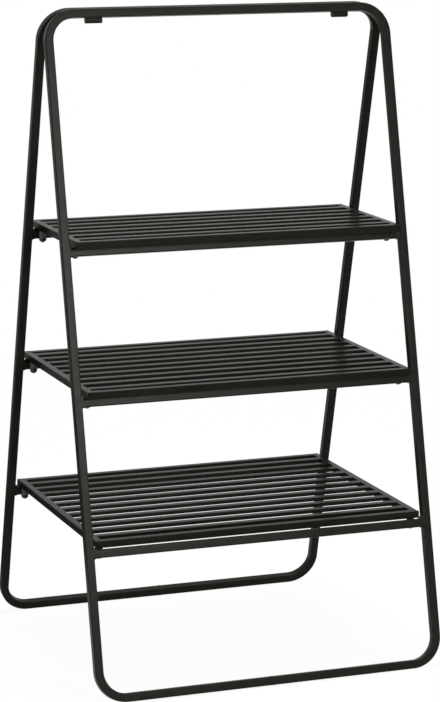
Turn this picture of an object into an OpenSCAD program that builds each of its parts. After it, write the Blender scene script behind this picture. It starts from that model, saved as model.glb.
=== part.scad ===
// Folding plant ladder stand: two leaning tube frames hinged at the top, with three slatted shelves.
// X runs across the stand, the front is at -Y, and the floor is at z = 0.

/* [Stand] */
// Overall width of the stand
stand_width = 671; // [560:1:900]
// Length of each ladder frame along its slope
frame_length = 1235.5; // [1100:0.5:1500]
// Lean of each ladder frame from the vertical, in degrees
lean = 13.9; // [11:0.1:18]

/* [Frame tube] */
// Outside size of the square frame tube
tube_size = 15.5; // [13:0.5:20]
// Wall thickness of the frame tube
tube_wall = 1.2; // [1:0.1:2]
// Corner radius of the frame tube's section
tube_corner = 2; // [1:0.1:3]
// Radius of the frame's bends at the tube's centre line
bend_radius = 50; // [30:1:80]

/* [Crossbars] */
// Distance of the bottom crossbar from the foot of the frame, along the slope
first_bar = 265.6; // [200:0.2:320]
// Distance from one crossbar to the next, along the slope
bar_pitch = 268; // [220:1:300]

/* [Shelves] */
// Reach of the top shelf beyond the centre of its crossbars
top_overhang = 25; // [0:0.5:35]
// Reach of the middle shelf beyond the centre of its crossbars
middle_overhang = 17.5; // [0:0.5:35]
// Reach of the bottom shelf beyond the centre of its crossbars
bottom_overhang = -1.5; // [-3:0.5:35]
// Gap between a shelf and the uprights on each side
shelf_gap = 6; // [2:0.5:12]
// Outside size of a shelf's square rails
rail_size = 13; // [10:0.5:16]
// Wall thickness of a shelf's rails
rail_wall = 1; // [0.8:0.1:1.5]
// Corner radius of a rail's section
rail_corner = 1.2; // [0.8:0.1:2]

/* [Slats] */
// Width of a slat
slat_width = 15; // [10:0.5:20]
// Depth of a slat's folded edges
slat_depth = 6.5; // [3:0.5:9]
// Sheet thickness of a slat
slat_sheet = 1; // [0.8:0.1:1.5]
// Distance from one slat to the next
slat_pitch = 40; // [25:1:60]
// Least gap between a rail and the first slat
slat_end_gap = 14; // [8:1:30]

/* [Seat pegs] */
// Diameter of a seat peg
peg_diameter = 14; // [12:0.5:16]
// Length of a seat peg below the shelf
peg_length = 23.5; // [20:0.5:30]
// Distance of a seat peg's axis from its crossbar's inner face
peg_reach = 9.3; // [8.5:0.1:12]
// Distance of a seat peg's axis from the side of the shelf
peg_inset = 10; // [7:0.5:12]
// Diameter of the neck between a seat peg and its crossbar
neck_diameter = 10; // [8:0.5:11]
// Diameter of a peg screw's shank
screw_diameter = 4; // [3:0.5:5]

/* [Hinges] */
// Distance of each hinge from the middle of the stand
hinge_offset = 240; // [120:5:250]
// Distance by which both hinges are set over to the right
hinge_shift = 4; // [-8:0.5:8]
// Width of a hinge
hinge_width = 30; // [24:1:50]
// Thickness of a hinge leaf
leaf_thickness = 2; // [1.5:0.1:3]
// Outside diameter of a hinge's knuckles
knuckle_diameter = 9; // [8:0.5:10]
// Diameter of a hinge pin
pin_diameter = 5; // [4:0.1:6]
// Drop of the hinge pins below the top bars
pin_drop = 5; // [3.5:0.1:8]

/* [Hidden] */

// Facets of a round part
$fn = 48;
// Facets of a rounded corner in a tube's section
corner_steps = 3;
// Overshoot that keeps cuts free of coplanar faces
cut = 1;

// Clearances
// Gap between the two frames' hinge leaves when the stand is open
stop_gap = 0.06;
// Running clearance round a hinge pin
pin_clearance = 0.05;
// Gap between two knuckles, and between a pin's head and its knuckle
knuckle_gap = 0.2;
// Gap between a leaf and the other leaf's knuckles
leaf_clearance = 0.4;
// Height of a shelf above the ridges of its crossbars
ridge_clearance = 0.3;
// Radial clearance of a peg screw in its peg
screw_clearance = 0.2;
// Radial clearance of a peg screw's head in its counterbore
head_clearance = 0.4;

// Sizes that follow from the values above
inner_width = stand_width - 2 * tube_size;
shelf_width = inner_width - 2 * shelf_gap;
ridge_height = (tube_size / 2 - tube_corner) * (cos(lean) + sin(lean)) + tube_corner;
seat_height = ridge_height + ridge_clearance;
foot_z = ridge_height - tube_size / 2 * cos(lean);
top_half_gap = (tube_size / 2 + leaf_thickness) * cos(lean) + stop_gap;
foot_y = top_half_gap + frame_length * sin(lean);
corner_x = stand_width / 2 - tube_size / 2 - bend_radius;

// Crossbars, from the top down
top_bar = first_bar + 2 * bar_pitch;
middle_bar = first_bar + bar_pitch;
bottom_bar = first_bar;
bars = [top_bar, middle_bar, bottom_bar];

// Seat pegs
peg_x = shelf_width / 2 - peg_inset;
peg_y = tube_size / 2 + peg_reach;
screw_head_diameter = screw_diameter * 1.9;
screw_head_height = screw_diameter * 0.65;
screw_recess = 4.3;
screw_seat = peg_y + peg_diameter / 2 - screw_recess;
screw_bite = 4;

// Hinges: the pins lie in the middle plane, under the two top bars
pin_z = foot_z + (frame_length - tube_size) * cos(lean) - tube_size / 2 * sin(lean) - pin_drop;
pin_slope_z = foot_y * sin(lean) + (pin_z - foot_z) * cos(lean);
knuckle_length = (hinge_width - 2 * knuckle_gap) / 3;
pin_head_diameter = pin_diameter + 2.4;
pin_head_height = 1.4;

// Heights and depths of the shelves
function bar_y(bar) = foot_y - bar * sin(lean);
function bar_z(bar) = foot_z + bar * cos(lean);
function shelf_z(bar) = bar_z(bar) + seat_height;
function shelf_depth(bar, overhang) = 2 * (bar_y(bar) + overhang);
function slat_room(depth) = depth - 2 * rail_size - 2 * slat_end_gap - slat_width;
function slat_count(depth) = floor(slat_room(depth) / slat_pitch) + 1;

// Outline of a square with rounded corners
module rounded_square(size, corner) {
    inset = size / 2 - corner;
    quarters = [[1, 1], [-1, 1], [-1, -1], [1, -1]];
    polygon([
        for (quarter = [0:3])
            for (step = [0:corner_steps])
                let (turn = 90 * (quarter + step / corner_steps))
                inset * quarters[quarter] + corner * [cos(turn), sin(turn)]
    ]);
}

// Section of a square tube
module tube_section(size, wall, corner) {
    difference() {
        rounded_square(size, corner);
        square(size - 2 * wall, center = true);
    }
}

// Straight tube along +X
module straight_tube(length, size, wall, corner) {
    rotate([0, 90, 0])
        linear_extrude(length)
            tube_section(size, wall, corner);
}

// Quarter bend that turns a tube from +X to +Y, with its centre at the origin
module tube_bend(radius, size, wall, corner) {
    rotate([0, 0, -90])
        rotate_extrude(angle = 90)
            translate([radius, 0])
                tube_section(size, wall, corner);
}

// Right half of a ladder frame's loop, bent from one tube, lying in the XY plane
module half_loop() {
    side = frame_length - tube_size - 2 * bend_radius;
    translate([0, tube_size / 2, 0])
        straight_tube(corner_x, tube_size, tube_wall, tube_corner);
    translate([corner_x, tube_size / 2 + bend_radius, 0])
        tube_bend(bend_radius, tube_size, tube_wall, tube_corner);
    translate([corner_x + bend_radius, tube_size / 2 + bend_radius, 0])
        rotate([0, 0, 90])
            straight_tube(side, tube_size, tube_wall, tube_corner);
    translate([corner_x, frame_length - tube_size / 2 - bend_radius, 0])
        rotate([0, 0, 90])
            tube_bend(bend_radius, tube_size, tube_wall, tube_corner);
    translate([0, frame_length - tube_size / 2, 0])
        straight_tube(corner_x, tube_size, tube_wall, tube_corner);
}

// Puts a piece from the front frame's own axes in place: Y is its inner side and Z runs up the slope
module on_front() {
    translate([0, -foot_y, foot_z])
        rotate([-lean, 0, 0])
            children();
}

module frame_half() {
    rotate([90, 0, 0])
        half_loop();
}

// A crossbar between the uprights, with a screw hole for each of its seat pegs
module crossbar(bar) {
    difference() {
        translate([-inner_width / 2, 0, bar])
            straight_tube(inner_width, tube_size, tube_wall, tube_corner);
        for (side = [-1, 1])
            translate([side * peg_x, tube_size / 2 - tube_wall - cut, bar])
                rotate([-90, 0, 0])
                    cylinder(d = screw_diameter + screw_clearance, h = tube_wall + 2 * cut);
    }
}

// One seat peg at the front right: its flat top carries the shelf and its neck meets the crossbar
module seat_peg(bar) {
    difference() {
        union() {
            translate([peg_x, peg_y - bar_y(bar), shelf_z(bar)])
                peg_body();
            on_front()
                translate([peg_x, tube_size / 2, bar])
                    rotate([-90, 0, 0])
                        cylinder(d = neck_diameter, h = peg_reach);
        }
        on_front()
            translate([peg_x, 0, bar])
                rotate([-90, 0, 0]) {
                    cylinder(d = screw_diameter + 2 * screw_clearance, h = screw_seat + cut);
                    translate([0, 0, screw_seat])
                        cylinder(d = screw_head_diameter + 2 * head_clearance, h = peg_diameter);
                }
    }
}

// Body of a seat peg: an upright round bar with a ball end, its top at the origin
module peg_body() {
    shank = peg_length - peg_diameter / 2;
    translate([0, 0, -shank])
        cylinder(d = peg_diameter, h = shank);
    translate([0, 0, -shank])
        sphere(d = peg_diameter);
}

// One peg screw at the front right, driven from the inner side into the crossbar's wall
module peg_screw(bar) {
    on_front()
        translate([peg_x, 0, bar])
            rotate([-90, 0, 0]) {
                translate([0, 0, tube_size / 2 - screw_bite])
                    cylinder(d = screw_diameter, h = screw_seat - tube_size / 2 + screw_bite);
                translate([0, 0, screw_seat])
                    cylinder(d = screw_head_diameter, h = screw_head_height);
            }
}

module both_sides() {
    children();
    mirror([1, 0, 0])
        children();
}

module frame_pegs() {
    color("DimGray")
        both_sides()
            for (bar = bars)
                seat_peg(bar);
}

module frame_screws() {
    color("Silver")
        both_sides()
            for (bar = bars)
                peg_screw(bar);
}

// Knuckles of one hinge along X, numbered from its left end
module knuckles(numbers, diameter, extra) {
    pitch = knuckle_length + knuckle_gap;
    for (number = numbers)
        translate([number * pitch - hinge_width / 2 - extra, 0, pin_z])
            rotate([0, 90, 0])
                cylinder(d = diameter, h = knuckle_length + 2 * extra);
}

// Leaf of a hinge in the middle of the front top bar, with its own knuckles
module hinge_leaf(own, other) {
    difference() {
        union() {
            on_front()
                translate([-hinge_width / 2, tube_size / 2, pin_slope_z])
                    cube([hinge_width, leaf_thickness, frame_length - pin_slope_z]);
            knuckles(own, knuckle_diameter, 0);
        }
        knuckles(other, knuckle_diameter + 2 * leaf_clearance, knuckle_gap);
        translate([-hinge_width / 2 - cut, 0, pin_z])
            rotate([0, 90, 0])
                cylinder(d = pin_diameter + 2 * pin_clearance, h = hinge_width + 2 * cut);
    }
}

module hinge_pin() {
    translate([-hinge_width / 2 - knuckle_gap, 0, pin_z])
        rotate([0, 90, 0]) {
            cylinder(d = pin_diameter, h = hinge_width + 2 * knuckle_gap);
            translate([0, 0, -pin_head_height])
                cylinder(d = pin_head_diameter, h = pin_head_height);
            translate([0, 0, hinge_width + 2 * knuckle_gap])
                cylinder(d = pin_head_diameter, h = pin_head_height);
        }
}

// Rail of a shelf along X with mitred ends, its outer side towards -Y
module mitred_rail(length) {
    reach = rail_size / 2 + cut;
    long_end = length / 2 + cut;
    short_end = length / 2 - rail_size - cut;
    color("DimGray")
        intersection() {
            translate([-long_end, 0, 0])
                straight_tube(2 * long_end, rail_size, rail_wall, rail_corner);
            linear_extrude(2 * reach, center = true)
                polygon([[-long_end, -reach], [long_end, -reach], [short_end, reach], [-short_end, reach]]);
        }
}

module shelf_front_rail(bar, overhang) {
    translate([0, (rail_size - shelf_depth(bar, overhang)) / 2, shelf_z(bar) + rail_size / 2])
        mitred_rail(shelf_width);
}

module shelf_rear_rail(bar, overhang) {
    mirror([0, 1, 0])
        shelf_front_rail(bar, overhang);
}

module shelf_right_rail(bar, overhang) {
    translate([(shelf_width - rail_size) / 2, 0, shelf_z(bar) + rail_size / 2])
        rotate([0, 0, 90])
            mitred_rail(shelf_depth(bar, overhang));
}

module shelf_left_rail(bar, overhang) {
    mirror([1, 0, 0])
        shelf_right_rail(bar, overhang);
}

// Slats of a shelf: channels folded down from sheet, flush with the top of the rails
module shelf_slats(bar, overhang) {
    count = slat_count(shelf_depth(bar, overhang));
    length = shelf_width - 2 * rail_size;
    color("Gray")
        for (number = [0:count - 1])
            translate([0, (number - (count - 1) / 2) * slat_pitch, shelf_z(bar) + rail_size])
                difference() {
                    translate([-length / 2, -slat_width / 2, -slat_depth])
                        cube([length, slat_width, slat_depth]);
                    translate([-length / 2 - cut, slat_sheet - slat_width / 2, -slat_depth - cut])
                        cube([length + 2 * cut, slat_width - 2 * slat_sheet, slat_depth - slat_sheet + cut]);
                }
}

module front_left_tube() {
    color("DimGray")
        mirror([1, 0, 0])
            on_front()
                frame_half();
}

module front_right_tube() {
    color("DimGray")
        on_front()
            frame_half();
}

module front_crossbar(bar) {
    color("DimGray")
        on_front()
            crossbar(bar);
}

module front_leaf(side) {
    color("DarkGray")
        translate([side * hinge_offset + hinge_shift, 0, 0])
            hinge_leaf([0, 2], [1]);
}

module pin(side) {
    color("Silver")
        translate([side * hinge_offset + hinge_shift, 0, 0])
            hinge_pin();
}

module rear_left_tube() {
    mirror([0, 1, 0])
        front_left_tube();
}

module rear_right_tube() {
    mirror([0, 1, 0])
        front_right_tube();
}

module rear_crossbar(bar) {
    mirror([0, 1, 0])
        front_crossbar(bar);
}

module rear_leaf(side) {
    color("DarkGray")
        translate([side * hinge_offset + hinge_shift, 0, 0])
            mirror([0, 1, 0])
                hinge_leaf([1], [0, 2]);
}

module rear_pegs() {
    mirror([0, 1, 0])
        frame_pegs();
}

module rear_screws() {
    mirror([0, 1, 0])
        frame_screws();
}

front_left_tube();
front_right_tube();
front_crossbar(top_bar);  // front_top_crossbar
front_crossbar(middle_bar);  // front_middle_crossbar
front_crossbar(bottom_bar);  // front_bottom_crossbar
front_leaf(-1);  // left_hinge_front_leaf
front_leaf(1);  // right_hinge_front_leaf
pin(-1);  // left_hinge_pin
pin(1);  // right_hinge_pin
frame_pegs();  // front_seat_pegs
frame_screws();  // front_peg_screws
rear_left_tube();
rear_right_tube();
rear_crossbar(top_bar);  // rear_top_crossbar
rear_crossbar(middle_bar);  // rear_middle_crossbar
rear_crossbar(bottom_bar);  // rear_bottom_crossbar
rear_leaf(-1);  // left_hinge_rear_leaf
rear_leaf(1);  // right_hinge_rear_leaf
rear_pegs();  // rear_seat_pegs
rear_screws();  // rear_peg_screws
shelf_front_rail(top_bar, top_overhang);  // top_shelf_front_rail
shelf_rear_rail(top_bar, top_overhang);  // top_shelf_rear_rail
shelf_left_rail(top_bar, top_overhang);  // top_shelf_left_rail
shelf_right_rail(top_bar, top_overhang);  // top_shelf_right_rail
shelf_slats(top_bar, top_overhang);  // top_shelf_slats
shelf_front_rail(middle_bar, middle_overhang);  // middle_shelf_front_rail
shelf_rear_rail(middle_bar, middle_overhang);  // middle_shelf_rear_rail
shelf_left_rail(middle_bar, middle_overhang);  // middle_shelf_left_rail
shelf_right_rail(middle_bar, middle_overhang);  // middle_shelf_right_rail
shelf_slats(middle_bar, middle_overhang);  // middle_shelf_slats
shelf_front_rail(bottom_bar, bottom_overhang);  // bottom_shelf_front_rail
shelf_rear_rail(bottom_bar, bottom_overhang);  // bottom_shelf_rear_rail
shelf_left_rail(bottom_bar, bottom_overhang);  // bottom_shelf_left_rail
shelf_right_rail(bottom_bar, bottom_overhang);  // bottom_shelf_right_rail
shelf_slats(bottom_bar, bottom_overhang);  // bottom_shelf_slats
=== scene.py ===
from math import cos, pi, radians, sin

import bmesh
import bpy
from mathutils import Matrix, Vector


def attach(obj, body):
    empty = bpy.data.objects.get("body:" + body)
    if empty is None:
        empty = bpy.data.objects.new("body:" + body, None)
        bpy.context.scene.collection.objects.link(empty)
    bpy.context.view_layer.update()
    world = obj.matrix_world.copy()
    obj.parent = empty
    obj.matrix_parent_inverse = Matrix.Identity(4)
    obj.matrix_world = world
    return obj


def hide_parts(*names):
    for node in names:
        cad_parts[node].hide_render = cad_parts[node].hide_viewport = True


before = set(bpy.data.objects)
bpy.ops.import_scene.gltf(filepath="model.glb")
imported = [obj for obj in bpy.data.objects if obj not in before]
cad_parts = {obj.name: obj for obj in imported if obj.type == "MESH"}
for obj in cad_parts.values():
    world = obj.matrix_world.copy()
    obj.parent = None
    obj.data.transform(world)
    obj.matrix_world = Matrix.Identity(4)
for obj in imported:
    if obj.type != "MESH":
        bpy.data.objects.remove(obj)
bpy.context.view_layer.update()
print("frame loaded:", len(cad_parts), "nodes")


# the stand's own sizes, in metres, as the frame has them
stand = {
    "width": 0.671,
    "length": 1.2355,           # of a ladder frame, along its slope
    "lean": radians(13.9),
    "tube": 0.0155,
    "tubeCorner": 0.002,
    "cornerSteps": 4,
    "bendRadius": 0.050,        # at the tube's centre line
    "bars": {"bottom": 0.2656, "middle": 0.5336, "top": 0.8016},     # the crossbars' axes, up the slope
    "leaf": 0.002,              # thickness of the hinge plates
    "stopGap": 0.00006,         # left between the hinge leaves when the stand is open
    "pinDrop": 0.005,           # of the hinge pins, under the top bars
    "ridgeClearance": 0.0003,   # over the crossbars, so that a shelf lies on its pegs alone
    "shelfGap": 0.006,          # on either side, to the frame
    "overhang": {"bottom": -0.0015, "middle": 0.0175, "top": 0.025},    # of a shelf past its crossbar's axis
}

sinLean = sin(stand["lean"])
cosLean = cos(stand["lean"])
halfTube = stand["tube"] / 2
ridgeHeight = (halfTube - stand["tubeCorner"]) * (cosLean + sinLean) + stand["tubeCorner"]
seatHeight = ridgeHeight + stand["ridgeClearance"]
footZ = ridgeHeight - halfTube * cosLean
footY = (halfTube + stand["leaf"]) * cosLean + stand["stopGap"] + stand["length"] * sinLean
pinZ = footZ + (stand["length"] - stand["tube"]) * cosLean - halfTube * sinLean - stand["pinDrop"]
innerHalf = stand["width"] / 2 - stand["tube"]
shelfHalf = innerHalf - stand["shelfGap"]
levels = ("top", "middle", "bottom")


def barY(level):
    return footY - stand["bars"][level] * sinLean


def barZ(level):
    return footZ + stand["bars"][level] * cosLean


# small helpers that work like the hand does
flush = 1e-5                       # an edge this close to a face's plane lies on it
doubles = 1e-6                     # points this close are one
sharpFrom = radians(35)            # edges that turn more than this stay sharp


def runsAlong(part):               # part is one of x, y and z of a direction of length 1
    return abs(part) > 0.9


def runsAcross(part):
    return abs(part) < 0.1


def deselect():
    if bpy.context.object and bpy.context.object.mode != "OBJECT":
        bpy.ops.object.mode_set(mode="OBJECT")
    bpy.ops.object.select_all(action="DESELECT")


def activate(piece):
    deselect()
    piece.select_set(True)
    bpy.context.view_layer.objects.active = piece


def applyPlace(piece):
    activate(piece)
    bpy.ops.object.transform_apply(location=True, rotation=True, scale=True)


def editFaces(piece):
    activate(piece)
    bpy.ops.object.mode_set(mode="EDIT")
    bpy.ops.mesh.select_mode(type="FACE")
    bpy.ops.mesh.select_all(action="SELECT")


def selectFaces(piece, wanted):
    mesh = bmesh.from_edit_mesh(piece.data)
    for face in mesh.faces:
        face.select_set(wanted(face.normal))
    bmesh.update_edit_mesh(piece.data)


def selectEdges(piece, wanted):
    bpy.ops.mesh.select_mode(type="EDGE")
    mesh = bmesh.from_edit_mesh(piece.data)
    for edge in mesh.edges:
        first, second = (vert.co for vert in edge.verts)
        edge.select_set(wanted((first + second) / 2, (second - first).normalized()))
    bmesh.update_edit_mesh(piece.data)


def pull(x=0.0, z=0.0, scale=1.0):
    bpy.ops.mesh.extrude_region_move(TRANSFORM_OT_translate={"value": (x, 0, z)})
    if scale != 1.0:
        bpy.ops.transform.resize(value=(scale, scale, scale))


def bend(x, z, steps):
    bpy.ops.mesh.spin(steps=steps, angle=pi / 2, center=(x, 0, z), axis=(0, 1, 0))


def closeMesh():
    bpy.ops.mesh.select_all(action="SELECT")
    bpy.ops.mesh.remove_doubles(threshold=doubles)
    bpy.ops.mesh.normals_make_consistent(inside=False)
    bpy.ops.object.mode_set(mode="OBJECT")


def pointOutwards(piece):
    editFaces(piece)
    bpy.ops.mesh.normals_make_consistent(inside=False)
    bpy.ops.object.mode_set(mode="OBJECT")


def applyModifier(piece, kind, **settings):
    activate(piece)
    modifier = piece.modifiers.new(kind.title(), kind)
    for setting, value in settings.items():
        setattr(modifier, setting, value)
    bpy.ops.object.modifier_apply(modifier=modifier.name)


def cutWith(piece, cutter, operation="DIFFERENCE"):
    applyModifier(piece, "BOOLEAN", operation=operation, solver="EXACT", object=cutter)
    bpy.data.objects.remove(cutter, do_unlink=True)


def smooth(piece):
    activate(piece)
    bpy.ops.object.shade_smooth_by_angle(angle=sharpFrom)
    applyModifier(piece, "WEIGHTED_NORMAL", keep_sharp=True)


def copyOf(piece, name):
    twin = piece.copy()
    twin.data = piece.data.copy()
    twin.name = twin.data.name = name
    bpy.context.collection.objects.link(twin)
    return twin


def mirrored(piece, name, x=1, y=1):
    twin = copyOf(piece, name)
    twin.scale = (x, y, 1)
    applyPlace(twin)
    pointOutwards(twin)
    smooth(twin)
    return twin


def joined(pieces, name):
    deselect()
    for piece in pieces:
        piece.select_set(True)
    bpy.context.view_layer.objects.active = pieces[0]
    bpy.ops.object.join()
    pieces[0].name = pieces[0].data.name = name
    return pieces[0]


def ontoFront(piece):              # from the front frame's own axes, Y inwards and Z up the slope
    piece.rotation_euler = (-stand["lean"], 0, 0)
    piece.location = (0, -footY, footZ)
    applyPlace(piece)


def startTube(name, size, corner, x, z):           # a rounded square that faces +X
    deselect()
    bpy.ops.mesh.primitive_plane_add(size=size, location=(x, 0, z), rotation=(0, pi / 2, 0))
    piece = bpy.context.object
    piece.name = piece.data.name = name
    applyPlace(piece)
    editFaces(piece)
    bpy.ops.mesh.bevel(offset=corner, segments=stand["cornerSteps"], affect="VERTICES")
    return piece


def addCylinder(name, radius, depth, centre, axis, sides=32):
    deselect()
    bpy.ops.mesh.primitive_cylinder_add(vertices=sides, radius=radius, depth=depth)
    piece = bpy.context.object
    piece.name = piece.data.name = name
    turned = Vector((0, 0, 1)).rotation_difference(Vector(axis)).to_matrix().to_4x4()
    piece.matrix_world = Matrix.Translation(centre) @ turned
    applyPlace(piece)
    return piece


def addBlock(name, low, high):
    deselect()
    bpy.ops.mesh.primitive_cube_add(size=1)
    piece = bpy.context.object
    piece.name = piece.data.name = name
    piece.location = (Vector(low) + Vector(high)) / 2
    piece.scale = Vector(high) - Vector(low)
    applyPlace(piece)
    return piece


def bevelEdges(piece, width, steps, wanted):
    editFaces(piece)
    selectEdges(piece, wanted)
    bpy.ops.mesh.bevel(offset=width, segments=steps, affect="EDGES", clamp_overlap=True)
    bpy.ops.object.mode_set(mode="OBJECT")


# frame halves: one bent tube each, butt-welded to its twin at the middle
seam = {
    "proud": 1.035,             # how much the seam's bead swells the section
    "halfWidth": 0.0016,
    "fade": 0.0012,
    "bendSteps": 20,
}


def makeFrameHalf(name):
    straight = stand["width"] / 2 - halfTube - stand["bendRadius"]
    side = stand["length"] - stand["tube"] - 2 * stand["bendRadius"]
    lowCentre = halfTube + stand["bendRadius"]
    plain = straight - seam["halfWidth"] - seam["fade"]
    piece = startTube(name, stand["tube"], stand["tubeCorner"], 0, halfTube)
    bpy.ops.transform.resize(value=(seam["proud"],) * 3)
    pull(x=seam["halfWidth"])
    pull(x=seam["fade"], scale=1 / seam["proud"])
    pull(x=plain)
    bend(straight, lowCentre, seam["bendSteps"])
    pull(z=side)
    bend(straight, lowCentre + side, seam["bendSteps"])
    pull(x=-plain)
    pull(x=-seam["fade"], scale=seam["proud"])
    pull(x=-seam["halfWidth"])
    closeMesh()
    ontoFront(piece)
    smooth(piece)
    return piece


frontRightTube = makeFrameHalf("frontRightTube")
frontLeftTube = mirrored(frontRightTube, "frontLeftTube", x=-1)
rearRightTube = mirrored(frontRightTube, "rearRightTube", y=-1)
rearLeftTube = mirrored(frontLeftTube, "rearLeftTube", y=-1)
print("frame halves bent")


# crossbars, their ends welded in and ground level in front
barWeld = {
    "sink": 0.0022,             # how far a bar's end runs into the upright
    "length": 0.0057,           # along the bar, and the same height up the upright
    "below": 0.35,              # share of that height under the bar
    "hollow": 1.15,             # above 1 the weld is a little concave
    "proud": 1.012,             # what the grinding leaves in front and behind
    "steps": 6,
}


def weldRings():                   # for each ring its place beside the upright, width, height and rise
    rings = []
    for step in range(-1, barWeld["steps"] + 1):
        share = max(step, 0) / barWeld["steps"]
        away = barWeld["length"] * share if step >= 0 else -barWeld["sink"]
        above = barWeld["length"] * (1 - share) ** barWeld["hollow"]
        below = above * barWeld["below"]
        wide = barWeld["proud"] * (1 - share) + share
        rings.append((away, wide, 1 + (above + below) / stand["tube"], (above - below) / 2))
    return rings


def makeCrossbar(name, level):
    rings = [(-innerHalf + away, wide, high, rise) for away, wide, high, rise in weldRings()]
    rings += [(-x, wide, high, rise) for x, wide, high, rise in reversed(rings)]
    x, wide, high, rise = rings[0]
    piece = startTube(name, stand["tube"], stand["tubeCorner"], x, stand["bars"][level] + rise)
    bpy.ops.transform.resize(value=(1, wide, high))
    for before, after in zip(rings, rings[1:]):
        pull(x=after[0] - before[0], z=after[3] - before[3])
        bpy.ops.transform.resize(value=(1, after[1] / before[1], after[2] / before[2]))
    closeMesh()
    ontoFront(piece)
    smooth(piece)
    return piece


frontBars = {}
rearBars = {}
for level in levels:
    frontBars[level] = makeCrossbar("front" + level.title() + "Crossbar", level)
    rearBars[level] = mirrored(frontBars[level], "rear" + level.title() + "Crossbar", y=-1)
print("crossbars welded in")


# shelf rails: four mitred tubes, welded at the corners and ground back
rail = {
    "size": 0.013,
    "corner": 0.0012,
    "spare": 0.001,             # cut off with the mitre at each end
    "seams": [(0.0020, 1.0), (0.0011, 1.028), (0, 1.036)],   # distance from the mitre, swell
    "fillet": 0.0013,           # radius of the weld left inside each corner
    "filletSides": 20,
    "filletRound": 0.00078,     # of its ends
    "filletSteps": 3,
}


def shelfDepth(level):
    return 2 * (barY(level) + stand["overhang"][level])


def shelfZ(level):                 # the underside of a shelf
    return barZ(level) + seatHeight


def makeRail(name, length, x, y, z, turned):
    half = length / 2
    piece = startTube(name, rail["size"], rail["corner"], -half - rail["spare"], 0)
    pull(x=length + 2 * rail["spare"])
    closeMesh()
    for end in (-1, 1):
        for distance, swell in rail["seams"]:
            editFaces(piece)
            bpy.ops.mesh.bisect(plane_co=(end * (half - distance), -rail["size"] / 2, 0),
                                plane_no=(end, 1, 0), clear_outer=distance == 0, use_fill=distance == 0)
            bpy.ops.transform.resize(value=(swell,) * 3)
        bpy.ops.object.mode_set(mode="OBJECT")
    piece.rotation_euler = (0, 0, turned)
    piece.location = (x, y, z)
    applyPlace(piece)
    return piece


def makeFillet(x, y, z):
    fillet = addCylinder("fillet", rail["fillet"], rail["size"] - 2 * rail["corner"], (x, y, z), (0, 0, 1),
                         rail["filletSides"])
    bevelEdges(fillet, rail["filletRound"], rail["filletSteps"], lambda middle, along: runsAcross(along.z))
    return fillet


def makeRails(level):
    depth = shelfDepth(level)
    halfRail = rail["size"] / 2
    z = shelfZ(level) + halfRail
    front = makeRail(level + "ShelfFrontRail", 2 * shelfHalf, 0, halfRail - depth / 2, z, 0)
    fillets = [makeFillet(side * (shelfHalf - rail["size"]), rail["size"] - depth / 2, z) for side in (-1, 1)]
    front = joined([front, *fillets], level + "ShelfFrontRail")
    smooth(front)
    right = makeRail(level + "ShelfRightRail", depth, shelfHalf - halfRail, 0, z, pi / 2)
    smooth(right)
    return {
        "front": front,
        "rear": mirrored(front, level + "ShelfRearRail", y=-1),
        "right": right,
        "left": mirrored(right, level + "ShelfLeftRail", x=-1),
    }


# slats: folded sheet channels, their tops level with the rails
slat = {
    "width": 0.015,
    "depth": 0.0065,
    "sheet": 0.001,
    "fold": 0.0013,             # outer radius of the folded edges
    "foldSteps": 5,
    "lap": 0.0011,              # how far a slat runs over the rail's rounded corner
    "pitch": 0.040,
    "count": {"top": 6, "middle": 9, "bottom": 11},
}


def makeSlat(name, level):
    half = shelfHalf - rail["size"] + slat["lap"]
    top = shelfZ(level) + rail["size"]
    piece = addBlock(name, (-half, -slat["width"] / 2, top - slat["depth"]), (half, slat["width"] / 2, top))
    editFaces(piece)
    selectFaces(piece, lambda normal: runsAlong(normal.x) or runsAlong(normal.z) and normal.z < 0)
    bpy.ops.mesh.delete(type="FACE")
    bevelEdges(piece, slat["fold"], slat["foldSteps"],
               lambda middle, along: runsAlong(along.x) and middle.z > top - flush)
    applyModifier(piece, "SOLIDIFY", thickness=slat["sheet"], offset=-1, use_even_offset=True)
    return piece


def makeSlats(name, level):
    pattern = makeSlat(name, level)
    slats = []
    for number in range(slat["count"][level]):
        twin = copyOf(pattern, name + str(number))
        twin.location = (0, (number - (slat["count"][level] - 1) / 2) * slat["pitch"], 0)
        applyPlace(twin)
        slats.append(twin)
    bpy.data.objects.remove(pattern, do_unlink=True)
    piece = joined(slats, name)
    pointOutwards(piece)
    smooth(piece)
    return piece


rails = {}
slats = {}
for level in levels:
    rails[level] = makeRails(level)
    slats[level] = makeSlats(level + "ShelfSlats", level)
print("shelves built")


# seat pegs: moulded round bars with a ball end below and a neck to the crossbar
peg = {
    "radius": 0.007,
    "length": 0.0235,
    "sides": 40,
    "reach": 0.0093,            # from the crossbar's inner face to the peg's axis
    "inset": 0.010,             # from the side of the shelf
    "ball": 0.006895,           # a bevel of nearly the whole radius rounds the lower end
    "ballSteps": 12,
    "edge": 0.0004,
    "edgeSteps": 2,
    "neck": 0.005,
    "screwBore": 0.0042,        # radius of the screw's counterbore
    "screwSeat": 0.0195,        # of the screw's head, from the crossbar's axis
}
pegX = shelfHalf - peg["inset"]
pegY = halfTube + peg["reach"]


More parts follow.
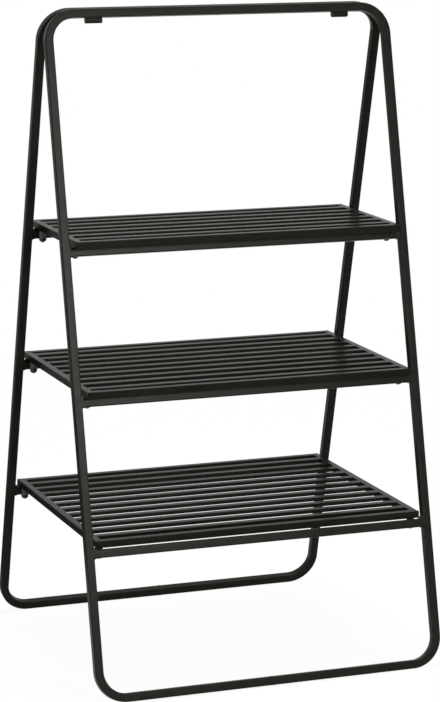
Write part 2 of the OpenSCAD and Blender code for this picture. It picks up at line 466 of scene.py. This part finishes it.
def makePeg(name, level):
    seat = shelfZ(level)
    low = seat - peg["length"]
    body = addCylinder(name, peg["radius"], peg["length"],
                       (pegX, pegY - barY(level), (seat + low) / 2), (0, 0, 1), peg["sides"])
    bevelEdges(body, peg["ball"], peg["ballSteps"],
               lambda middle, along: middle.z < low + flush and runsAcross(along.z))
    bevelEdges(body, peg["edge"], peg["edgeSteps"],
               lambda middle, along: middle.z > seat - flush and runsAcross(along.z))
    neck = addCylinder("neck", peg["neck"], peg["reach"],
                       (pegX, halfTube + peg["reach"] / 2, stand["bars"][level]), (0, 1, 0))
    ontoFront(neck)
    cutWith(body, neck, "UNION")
    bore = addCylinder("bore", peg["screwBore"], peg["radius"] * 2,
                       (pegX, peg["screwSeat"] + peg["radius"], stand["bars"][level]), (0, 1, 0))
    ontoFront(bore)
    cutWith(body, bore)
    return body


# peg screws: cylinder heads with a hexagon socket, sunk in the pegs
screw = {
    "radius": 0.002,
    "sides": 24,
    "headRadius": 0.0038,
    "headHeight": 0.0026,
    "socket": 0.0017,
    "socketSides": 6,
    "socketDepth": 0.0014,
    "bite": 0.004,              # into the crossbar
    "overlap": 0.0002,          # of the shank and the head
    "edge": 0.0005,
    "edgeSteps": 3,
}


def makeScrew(name, level):
    seat = peg["screwSeat"]
    outer = seat + screw["headHeight"]
    head = addCylinder(name, screw["headRadius"], screw["headHeight"],
                       (pegX, (seat + outer) / 2, stand["bars"][level]), (0, 1, 0))
    bevelEdges(head, screw["edge"], screw["edgeSteps"], lambda middle, along: middle.y > outer - flush)
    socket = addCylinder("socket", screw["socket"], 2 * screw["socketDepth"],
                         (pegX, outer, stand["bars"][level]), (0, 1, 0), screw["socketSides"])
    cutWith(head, socket)
    start = halfTube - screw["bite"]
    stop = seat + screw["overlap"]
    shank = addCylinder("shank", screw["radius"], stop - start,
                        (pegX, (stop + start) / 2, stand["bars"][level]), (0, 1, 0), screw["sides"])
    cutWith(head, shank, "UNION")
    ontoFront(head)
    return head


frontPegParts = []
frontScrewParts = []
for level in levels:
    right = makePeg("peg" + level, level)
    frontPegParts += [right, mirrored(right, "peg" + level + "Left", x=-1)]
    right = makeScrew("screw" + level, level)
    frontScrewParts += [right, mirrored(right, "screw" + level + "Left", x=-1)]
frontPegs = joined(frontPegParts, "frontSeatPegs")
smooth(frontPegs)
frontScrews = joined(frontScrewParts, "frontPegScrews")
smooth(frontScrews)
rearPegs = mirrored(frontPegs, "rearSeatPegs", y=-1)
rearScrews = mirrored(frontScrews, "rearPegScrews", y=-1)
print("pegs and screws set")


# hinges: two leaves each, welded inside the top bars, on a headed pin
hinge = {
    "offset": 0.240,
    "shift": 0.004,             # both hinges sit a little to the right
    "width": 0.030,
    "knuckleRadius": 0.0045,
    "knuckleSides": 36,
    "knuckleGap": 0.0002,
    "knuckleEdge": 0.0003,
    "knuckleSteps": 2,
    "clearance": 0.0004,
    "pinRadius": 0.0025,
    "pinClearance": 0.00005,
    "boreLength": 0.036,        # longer than the hinge is wide
    "headRadius": 0.0037,
    "headHeight": 0.0014,
    "headRound": 0.0009,
    "headSteps": 5,
    "plateCorner": 0.0012,
    "plateSteps": 3,
    "bead": 0.0011,             # radius of the weld along a leaf's side
    "beadSides": 16,
    "beadRound": 0.00066,       # of its ends
    "beadSteps": 3,
}
knuckleLength = (hinge["width"] - 2 * hinge["knuckleGap"]) / 3
pinSlopeZ = footY * sinLean + (pinZ - footZ) * cosLean


def addKnuckle(number, radius, extra=0):
    middle = (number - 1) * (knuckleLength + hinge["knuckleGap"])
    return addCylinder("knuckle", radius, knuckleLength + 2 * extra, (middle, 0, pinZ), (1, 0, 0),
                       hinge["knuckleSides"])


def makeBead(side):
    low = stand["length"] - stand["tube"] + stand["tubeCorner"]
    high = stand["length"] - stand["tubeCorner"]
    bead = addCylinder("bead", hinge["bead"], high - low,
                       (side * hinge["width"] / 2, halfTube, (low + high) / 2), (0, 0, 1), hinge["beadSides"])
    bevelEdges(bead, hinge["beadRound"], hinge["beadSteps"], lambda middle, along: runsAcross(along.z))
    ontoFront(bead)
    return bead


def makeLeaf(name, own, other):
    half = hinge["width"] / 2
    plate = addBlock(name, (-half, halfTube, pinSlopeZ), (half, halfTube + stand["leaf"], stand["length"]))
    bevelEdges(plate, hinge["plateCorner"], hinge["plateSteps"],
               lambda middle, along: runsAlong(along.y) and middle.z > stand["length"] - flush)
    ontoFront(plate)
    for number in own:
        knuckle = addKnuckle(number, hinge["knuckleRadius"])
        bevelEdges(knuckle, hinge["knuckleEdge"], hinge["knuckleSteps"],
                   lambda middle, along: runsAcross(along.x))
        cutWith(plate, knuckle, "UNION")
    for number in other:
        cutWith(plate, addKnuckle(number, hinge["knuckleRadius"] + hinge["clearance"], hinge["knuckleGap"]))
    bore = addCylinder("bore", hinge["pinRadius"] + hinge["pinClearance"], hinge["boreLength"],
                       (0, 0, pinZ), (1, 0, 0))
    cutWith(plate, bore)
    return joined([plate, makeBead(-1), makeBead(1)], name)


def makePin(name):
    half = hinge["width"] / 2 + hinge["knuckleGap"]
    tip = half + hinge["headHeight"]
    parts = [addCylinder(name, hinge["pinRadius"], 2 * half, (0, 0, pinZ), (1, 0, 0))]
    for side in (-1, 1):
        head = addCylinder("head", hinge["headRadius"], hinge["headHeight"],
                           (side * (half + tip) / 2, 0, pinZ), (1, 0, 0))
        bevelEdges(head, hinge["headRound"], hinge["headSteps"],
                   lambda middle, along: abs(middle.x) > tip - flush)
        parts.append(head)
    return joined(parts, name)


def shifted(piece, name, x):
    twin = copyOf(piece, name)
    twin.location = (x, 0, 0)
    applyPlace(twin)
    smooth(twin)
    return twin


frontLeaf = makeLeaf("frontLeaf", [0, 2], [1])
rearLeafFront = makeLeaf("rearLeafFront", [1], [0, 2])
rearLeaf = mirrored(rearLeafFront, "rearLeaf", y=-1)
hingePin = makePin("hingePin")
hinges = {}
for name, side in (("left", -1), ("right", 1)):
    x = side * hinge["offset"] + hinge["shift"]
    hinges[name] = {
        "frontLeaf": shifted(frontLeaf, name + "HingeFrontLeaf", x),
        "rearLeaf": shifted(rearLeaf, name + "HingeRearLeaf", x),
        "pin": shifted(hingePin, name + "HingePin", x),
    }
for pattern in (frontLeaf, rearLeafFront, rearLeaf, hingePin):
    bpy.data.objects.remove(pattern, do_unlink=True)
print("hinges pinned")


# materials
class Wire:                        # a shader output that takes + - * as a number does
    def __init__(self, shade, socket):
        self.shade = shade
        self.socket = socket

    def output(self, name):            # another output of the same node
        return Wire(self.shade, self.socket.node.outputs[name])

    def math(self, operation, first, second):
        return self.shade.node("ShaderNodeMath", {"operation": operation}, {0: first, 1: second})

    def __add__(self, other):
        return self.math("ADD", self, other)

    def __radd__(self, other):
        return self.math("ADD", other, self)

    def __sub__(self, other):
        return self.math("SUBTRACT", self, other)

    def __rsub__(self, other):
        return self.math("SUBTRACT", other, self)

    def __mul__(self, other):
        return self.math("MULTIPLY", self, other)

    def __rmul__(self, other):
        return self.math("MULTIPLY", other, self)


class Shade:                       # the nodes of a material or of the world
    def __init__(self, tree):
        self.tree = tree

    def node(self, kind, settings=None, sockets=None, output=0):
        node = self.tree.nodes.new(kind)
        for setting, value in (settings or {}).items():
            if setting == "stops":
                self.setStops(node.color_ramp, value)
            else:
                setattr(node, setting, value)
        for socket, value in (sockets or {}).items():
            self.feed(node.inputs[socket], value)
        return Wire(self, node.outputs[output])

    def setStops(self, ramp, stops):
        while len(ramp.elements) < len(stops):
            ramp.elements.new(0.5)
        for element, (position, grey) in zip(ramp.elements, stops):
            element.position = position
            element.color = (grey, grey, grey, 1)

    def feed(self, socket, value):
        if isinstance(value, Wire):
            self.tree.links.new(value.socket, socket)
        else:
            socket.default_value = value

    def span(self, value, fromMin, fromMax, toMin=0, toMax=1):
        return self.node("ShaderNodeMapRange", {}, {"Value": value, "From Min": fromMin, "From Max": fromMax,
                                                    "To Min": toMin, "To Max": toMax})

    def seenRays(self):                # camera rays, and those that meet the studio in gloss or glass
        rays = self.node("ShaderNodeLightPath")
        return rays.output("Is Camera Ray"), rays.output("Is Glossy Ray") + rays.output("Is Transmission Ray")


class Paint(Shade):
    def __init__(self, name):
        self.material = bpy.data.materials.new(name)
        self.material.use_nodes = True
        super().__init__(self.material.node_tree)
        self.shader = self.tree.nodes["Principled BSDF"]
        self.place = self.node("ShaderNodeTexCoord", output="Object")

    def set(self, **sockets):
        for socket, value in sockets.items():
            self.feed(self.shader.inputs[socket.replace("_", " ")], value)

    def noise(self, scale, detail=2.0):
        return self.node("ShaderNodeTexNoise", {}, {"Vector": self.place, "Scale": scale, "Detail": detail})

    def ramp(self, value, *stops):
        return self.node("ShaderNodeValToRGB", {"stops": stops}, {"Fac": value})

    def mix(self, factor, first, second):
        firstSocket, secondSocket, mixedColor = 6, 7, 2        # where a Mix node keeps its colours
        return self.node("ShaderNodeMix", {"data_type": "RGBA"},
                         {"Factor": factor, firstSocket: (*first, 1), secondSocket: (*second, 1)},
                         output=mixedColor)

    def swing(self, noise, spread):    # to both sides of 0, because a noise swings about 0.5
        return (noise - 0.5) * spread

    def bump(self, height, strength, distance):
        return self.node("ShaderNodeBump", {},
                         {"Height": height, "Strength": strength, "Distance": distance})


coat = {                           # satin black powder coat with a trace of olive
    "deep": (0.0052, 0.0054, 0.0037),
    "light": (0.0086, 0.0089, 0.0063),
    "shelfPaintedShade": 0.75,         # painted shade: the shelves' coat is a darker copy of the frame's, this much of it
    "cloudScale": 7.0,
    "cloudDetail": 3.0,
    "cloudShare": 0.6,
    "mottleScale": 60.0,
    "mottleShare": 0.4,
    "fade": (0.36, 0.64),       # from deep to light over this part of the clouds
    "roughness": 0.32,
    "mottleRoughness": 0.12,
    "grainRoughness": 0.08,
    "specular": 0.06,
    "sheen": (1.0, 1.0, 0.93),  # colour of its gloss
    "peelScale": 900.0,         # orange peel, a little over a millimetre
    "peelShare": 0.7,
    "grainScale": 5200.0,
    "grainShare": 0.3,
    "fineDetail": 1.0,          # of the peel and the grain
    "bump": 0.5,
    "peelDepth": 0.000012,
}


def makeCoat(name, shade=1.0):
    paint = Paint(name)
    cloud = paint.noise(coat["cloudScale"], coat["cloudDetail"])
    mottle = paint.noise(coat["mottleScale"])
    peel = paint.noise(coat["peelScale"], coat["fineDetail"])
    grain = paint.noise(coat["grainScale"], coat["fineDetail"])
    clouds = cloud * coat["cloudShare"] + mottle * coat["mottleShare"]
    blend = paint.ramp(clouds, (coat["fade"][0], 0.0), (coat["fade"][1], 1.0))
    # a shade below 1 darkens both colours: painted shade, used for the shelves' copy
    deep = [channel * shade for channel in coat["deep"]]
    light = [channel * shade for channel in coat["light"]]
    uneven = paint.swing(mottle, coat["mottleRoughness"]) + paint.swing(grain, coat["grainRoughness"])
    skin = peel * coat["peelShare"] + grain * coat["grainShare"]
    paint.set(Base_Color=paint.mix(blend, deep, light),
              Roughness=coat["roughness"] + uneven,
              Specular_IOR_Level=coat["specular"],
              Specular_Tint=(*coat["sheen"], 1),
              Normal=paint.bump(skin, coat["bump"], coat["peelDepth"]))
    return paint.material


pegPlastic = {                     # matt moulded plastic, nearly black
    "dark": (0.008, 0.008, 0.008),
    "pale": (0.014, 0.014, 0.0135),
    "cloudScale": 120.0,
    "textureScale": 1600.0,
    "textureDepth": 0.00005,
    "bump": 0.4,
    "roughness": 0.55,
    "roughnessSpread": 0.2,
    "specular": 0.4,
}


def makePlastic(name):
    paint = Paint(name)
    cloud = paint.noise(pegPlastic["cloudScale"])
    texture = paint.noise(pegPlastic["textureScale"])
    paint.set(Base_Color=paint.mix(cloud, pegPlastic["dark"], pegPlastic["pale"]),
              Roughness=pegPlastic["roughness"] + paint.swing(texture, pegPlastic["roughnessSpread"]),
              Specular_IOR_Level=pegPlastic["specular"],
              Normal=paint.bump(texture, pegPlastic["bump"], pegPlastic["textureDepth"]))
    return paint.material


steel = {                          # blackened steel of the screws and pins
    "dark": (0.035, 0.035, 0.036),
    "pale": (0.075, 0.074, 0.073),
    "metallic": 0.85,
    "cloudScale": 300.0,
    "cloudDetail": 3.0,
    "scratchScale": 2500.0,
    "scratchDepth": 0.00003,
    "bump": 0.3,
    "roughness": 0.34,
    "roughnessSpread": 0.2,
}


def makeSteel(name):
    paint = Paint(name)
    cloud = paint.noise(steel["cloudScale"], steel["cloudDetail"])
    scratch = paint.noise(steel["scratchScale"])
    paint.set(Base_Color=paint.mix(cloud, steel["dark"], steel["pale"]),
              Metallic=steel["metallic"],
              Roughness=steel["roughness"] + paint.swing(scratch, steel["roughnessSpread"]),
              Normal=paint.bump(scratch, steel["bump"], steel["scratchDepth"]))
    return paint.material


frameCoat = makeCoat("frameCoat")
# the shelves' copy of the frame coat is darkened to paint shade on their rails and slats
shelfShadedCoat = makeCoat("shelfShadedCoat", coat["shelfPaintedShade"])
plastic = makePlastic("mouldedPlastic")
blackSteel = makeSteel("blackenedSteel")


def dress(piece, material, body, slot, *nodes):
    piece.data.materials.clear()
    piece.data.materials.append(material)
    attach(piece, body)
    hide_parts(*nodes)


dress(frontLeftTube, frameCoat, "front_frame", "frame_paint", "front_left_tube")
dress(frontRightTube, frameCoat, "front_frame", "frame_paint", "front_right_tube")
dress(rearLeftTube, frameCoat, "rear_frame", "frame_paint", "rear_left_tube")
dress(rearRightTube, frameCoat, "rear_frame", "frame_paint", "rear_right_tube")
for level in levels:
    dress(frontBars[level], frameCoat, "front_frame", "frame_paint", "front_" + level + "_crossbar")
    dress(rearBars[level], frameCoat, "rear_frame", "frame_paint", "rear_" + level + "_crossbar")
    for side, piece in rails[level].items():
        dress(piece, shelfShadedCoat, level + "_shelf", "shelf_paint", level + "_shelf_" + side + "_rail")
    dress(slats[level], shelfShadedCoat, level + "_shelf", "shelf_paint", level + "_shelf_slats")
dress(frontPegs, plastic, "front_frame", "peg_plastic", "front_seat_pegs")
dress(rearPegs, plastic, "rear_frame", "peg_plastic", "rear_seat_pegs")
dress(frontScrews, blackSteel, "front_frame", "fastener_steel", "front_peg_screws")
dress(rearScrews, blackSteel, "rear_frame", "fastener_steel", "rear_peg_screws")
for name, parts in hinges.items():
    dress(parts["frontLeaf"], frameCoat, "front_frame", "frame_paint", name + "_hinge_front_leaf")
    dress(parts["rearLeaf"], frameCoat, "rear_frame", "frame_paint", name + "_hinge_rear_leaf")
    dress(parts["pin"], blackSteel, "front_frame", "fastener_steel", name + "_hinge_pin")
print("pieces painted")


# floor, light and camera
studio = {
    "floorSize": 120.0,
    "floorColor": (0.85, 0.85, 0.85),
    "floorRoughness": 0.9,
    "floorSpecular": 0.1,
    "glow": (0.92, 1.0),        # share of the floor that is seen as plain white at the feet, and further out
    "glowReach": (0.5, 3.0),    # metres from the middle over which it grows
    "paintedShadeSide": (0.14, 0.0),    # painted shade: gloss and glass see the floor's glow dimmed to a dark corner, which begins between these x and runs this much further left for each metre back, behind these y
    "paintedShadeSlope": 0.39,          # and runs this much further left for each metre back,
    "paintedShadeBack": (0.25, 0.6),    # behind these y
    "worldLight": 0.26,         # what the white surroundings give to matt surfaces
    "lamps": [                  # name, place, target, width, height, watts
        ("keyLamp", (0.7, -3.9, 1.85), (0, 0, 0.8), 0.9, 1.45, 104),
        ("edgeLamp", (-3.4, -1.2, 0.7), (0, 0, 0.6), 1.2, 2.2, 60),
        ("topLamp", (0.4, 0.2, 4.2), (0, 0, 0.5), 3.0, 3.0, 190),
    ],
}


def makeFloor():
    deselect()
    bpy.ops.mesh.primitive_plane_add(size=studio["floorSize"], location=(0, 0, 0))
    floor = bpy.context.object
    floor.name = "floor"
    paint = Paint("paleFloor")
    paint.set(Base_Color=(*studio["floorColor"], 1),
              Roughness=studio["floorRoughness"],
              Specular_IOR_Level=studio["floorSpecular"])
    cameraRays, glossRays = paint.seenRays()
    across = paint.node("ShaderNodeSeparateXYZ", {}, {"Vector": paint.place})
    back = across.output("Y")
    shadeLeftMask = paint.span(across + back * studio["paintedShadeSlope"], *studio["paintedShadeSide"])
    shadeBehindMask = paint.span(back, *studio["paintedShadeBack"])
    # painted shade in reflections: the glow is darkened for gloss and glass rays in that back-left corner,
    # while the camera still sees white
    glow = paint.node("ShaderNodeEmission", {}, {"Color": 1 - glossRays * shadeLeftMask * shadeBehindMask, "Strength": 1.0})
    away = paint.node("ShaderNodeVectorMath", {"operation": "LENGTH"}, {0: paint.place}, output="Value")
    share = paint.span(away, *studio["glowReach"], *studio["glow"])
    blend = paint.node("ShaderNodeMixShader", {}, {0: (cameraRays + glossRays) * share,
                                                   1: Wire(paint, paint.shader.outputs[0]), 2: glow})
    paint.feed(paint.tree.nodes["Material Output"].inputs["Surface"], blend)
    floor.data.materials.append(paint.material)


def makeWorld():
    world = bpy.data.worlds.new("studio")
    bpy.context.scene.world = world
    world.use_nodes = True
    shade = Shade(world.node_tree)
    cameraRays, glossRays = shade.seenRays()
    background = shade.tree.nodes["Background"]
    shade.feed(background.inputs["Color"], (1, 1, 1, 1))
    strength = shade.span(cameraRays + glossRays, 0, 1, studio["worldLight"], 1)
    shade.feed(background.inputs["Strength"], strength)


def addLamp(name, place, target, width, height, watts):
    lamp = bpy.data.lights.new(name, "AREA")
    lamp.shape = "RECTANGLE"
    lamp.size = width
    lamp.size_y = height
    lamp.energy = watts
    holder = bpy.data.objects.new(name, lamp)
    holder.location = place
    holder.rotation_euler = (Vector(target) - Vector(place)).to_track_quat("-Z", "Y").to_euler()
    bpy.context.collection.objects.link(holder)


makeFloor()
makeWorld()
for lamp in studio["lamps"]:
    addLamp(*lamp)

view = {                           # where the photograph was taken from
    "place": (-1.7923, -4.7100, 1.5846),
    "turned": (78.48962, -0.31016, -20.88575),     # degrees about X, Y and Z
    "lens": 141.07,
    "sensor": 36.0,
    "reach": 100,               # metres, past which nothing is drawn
}


def makeCamera():
    camera = bpy.data.objects.new("photoCamera", bpy.data.cameras.new("photoCamera"))
    bpy.context.collection.objects.link(camera)
    camera.location = view["place"]
    camera.rotation_euler = [radians(angle) for angle in view["turned"]]
    camera.data.sensor_fit = "AUTO"
    camera.data.sensor_width = view["sensor"]
    camera.data.lens = view["lens"]
    camera.data.clip_end = view["reach"]
    bpy.context.scene.camera = camera


makeCamera()
bpy.context.scene.view_settings.view_transform = "Standard"
print("studio lit, camera placed")
